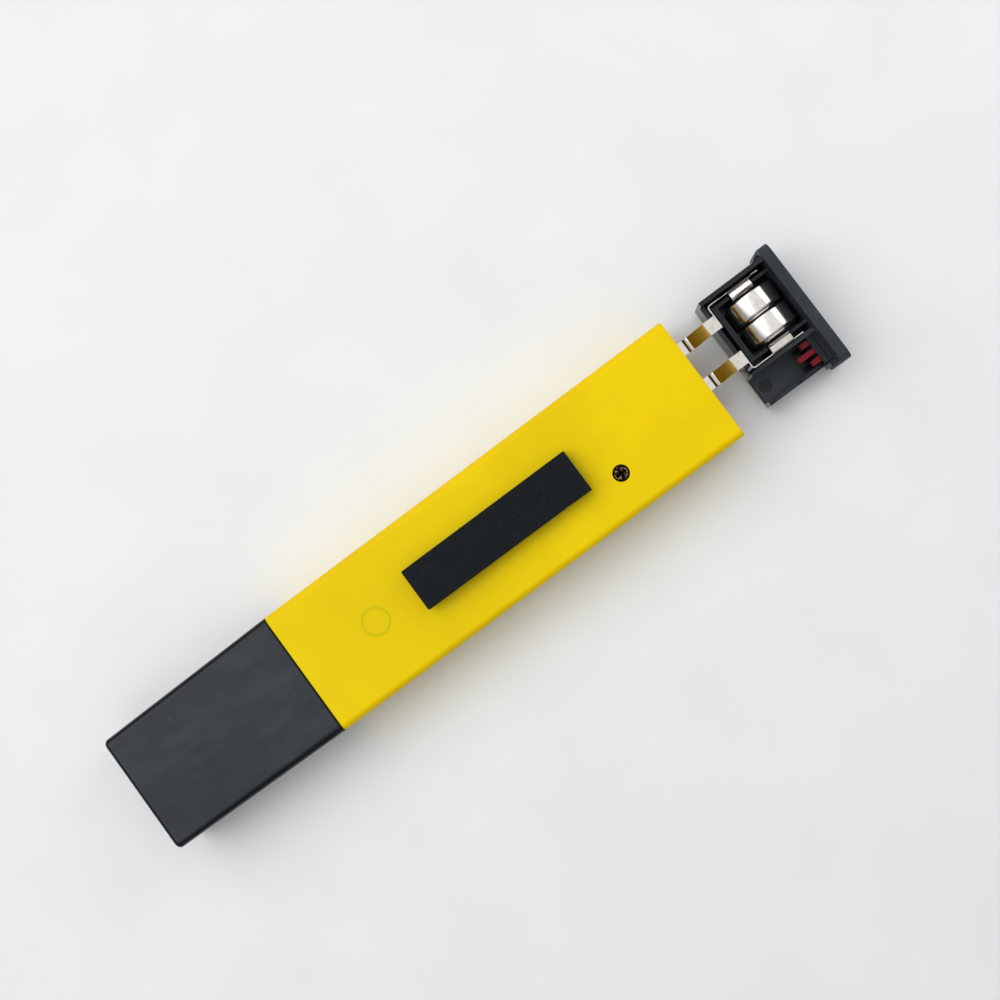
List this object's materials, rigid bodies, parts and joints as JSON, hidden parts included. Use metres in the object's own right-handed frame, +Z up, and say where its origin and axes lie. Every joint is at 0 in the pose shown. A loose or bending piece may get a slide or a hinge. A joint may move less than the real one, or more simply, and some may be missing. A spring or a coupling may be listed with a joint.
{
  "type": "digital pH meter",
  "caption": "Pocket pH tester with a flat casing, pocket clip, push-on electrode cap and a battery drawer that slides out of the end.",
  "frame": {"origin": "middle of the bounding box in plan at rest, at the level of the surface it lies on", "axes": "+X along the pen towards the battery drawer, +Z up through the back with the clip, +Y across the pen"},
  "size_m": [0.1774, 0.0296, 0.0196],
  "materials": {
    "yellow_shell": "satin moulded ABS",
    "clip_black": "matt moulded",
    "cap_grey": "hazy matt, lightly scuffed",
    "drawer_black": "smooth moulded",
    "contact_nickel": "bright nickel-plated sheet",
    "cell_steel": "nickel-plated can",
    "button_red": "smooth moulded",
    "board_green": "solder mask",
    "display_white": "moulded",
    "display_glass": "display cell",
    "lens_clear": "clear acrylic",
    "label_face": "printed film, blank",
    "rubber_black": "moulded",
    "chip_black": "epoxy",
    "trimmer_brown": "phenolic",
    "trimmer_metal": "dull",
    "screw_steel": "zinc plated",
    "electrode_black": "moulded",
    "electrode_glass": "clear glass",
    "silver_wire": "chlorided silver",
    "junction_ceramic": "porous",
    "lead_red": "wire insulation",
    "lead_white": "wire insulation"
  },
  "bodies": {
    "casing": {"back_shell": "yellow_shell", "front_shell": "yellow_shell", "front_label": "label_face", "window_lens": "lens_clear", "lcd_frame": "display_white", "lcd_glass": "display_glass", "zebra_strip": "rubber_black", "main_pcb": "board_green", "pcb_screw_1": "screw_steel", "pcb_screw_2": "screw_steel", "controller_blob": "chip_black", "amplifier_chip": "chip_black", "battery_pad_positive": "contact_nickel", "battery_pad_negative": "contact_nickel", "trimmer_body": "trimmer_brown", "power_switch_body": "chip_black", "electrode_holder": "electrode_black", "electrode_stem": "electrode_glass", "glass_bulb": "electrode_glass", "reference_wire": "silver_wire", "reference_junction": "junction_ceramic", "electrode_seal": "rubber_black", "neck_o_ring": "rubber_black", "signal_lead": "lead_red", "reference_lead": "lead_white"},
    "drawer": {"battery_tray": "drawer_black", "contact_positive": "contact_nickel", "contact_negative": "contact_nickel", "button_cell_1": "cell_steel", "button_cell_2": "cell_steel"},
    "button": {"power_button": "button_red"},
    "switch_plunger": {"power_switch_plunger": "display_white"},
    "trimmer": {"trimmer_rotor": "trimmer_metal"},
    "clip": {"pocket_clip": "clip_black"},
    "cap": {"protective_cap": "cap_grey"}
  },
  "joints": [
    {"name": "drawer_slide", "type": "slide", "parent": "casing", "child": "drawer", "axis": [1, 0, 0], "range_m": [-0.0246, 0.008]},
    {"name": "button_press", "type": "slide", "parent": "drawer", "child": "button", "axis": [-1, 0, 0], "range_m": [0, 0.0012], "stiffness_N_per_m": 300},
    {"name": "switch_press", "type": "slide", "parent": "casing", "child": "switch_plunger", "axis": [-1, 0, 0], "range_m": [0, 0.0012]},
    {"name": "cap_slide", "type": "slide", "parent": "casing", "child": "cap", "axis": [-1, 0, 0], "range_m": [0, 0.05]},
    {"name": "trimmer_turn", "type": "hinge", "parent": "casing", "child": "trimmer", "pos_m": [0.0352, -0.0058, 0.0131], "axis": [0, 0, 1], "range_deg": [-135, 135]},
    {"name": "clip_flex", "type": "hinge", "parent": "casing", "child": "clip", "pos_m": [0.0263, 0, 0.0153], "axis": [0, 1, 0], "range_deg": [0, 5], "stiffness_Nm_per_rad": 0.9}
  ],
  "couplings": [
    {"joint": "switch_press", "follows": "button_press", "ratio": 1}
  ]
}
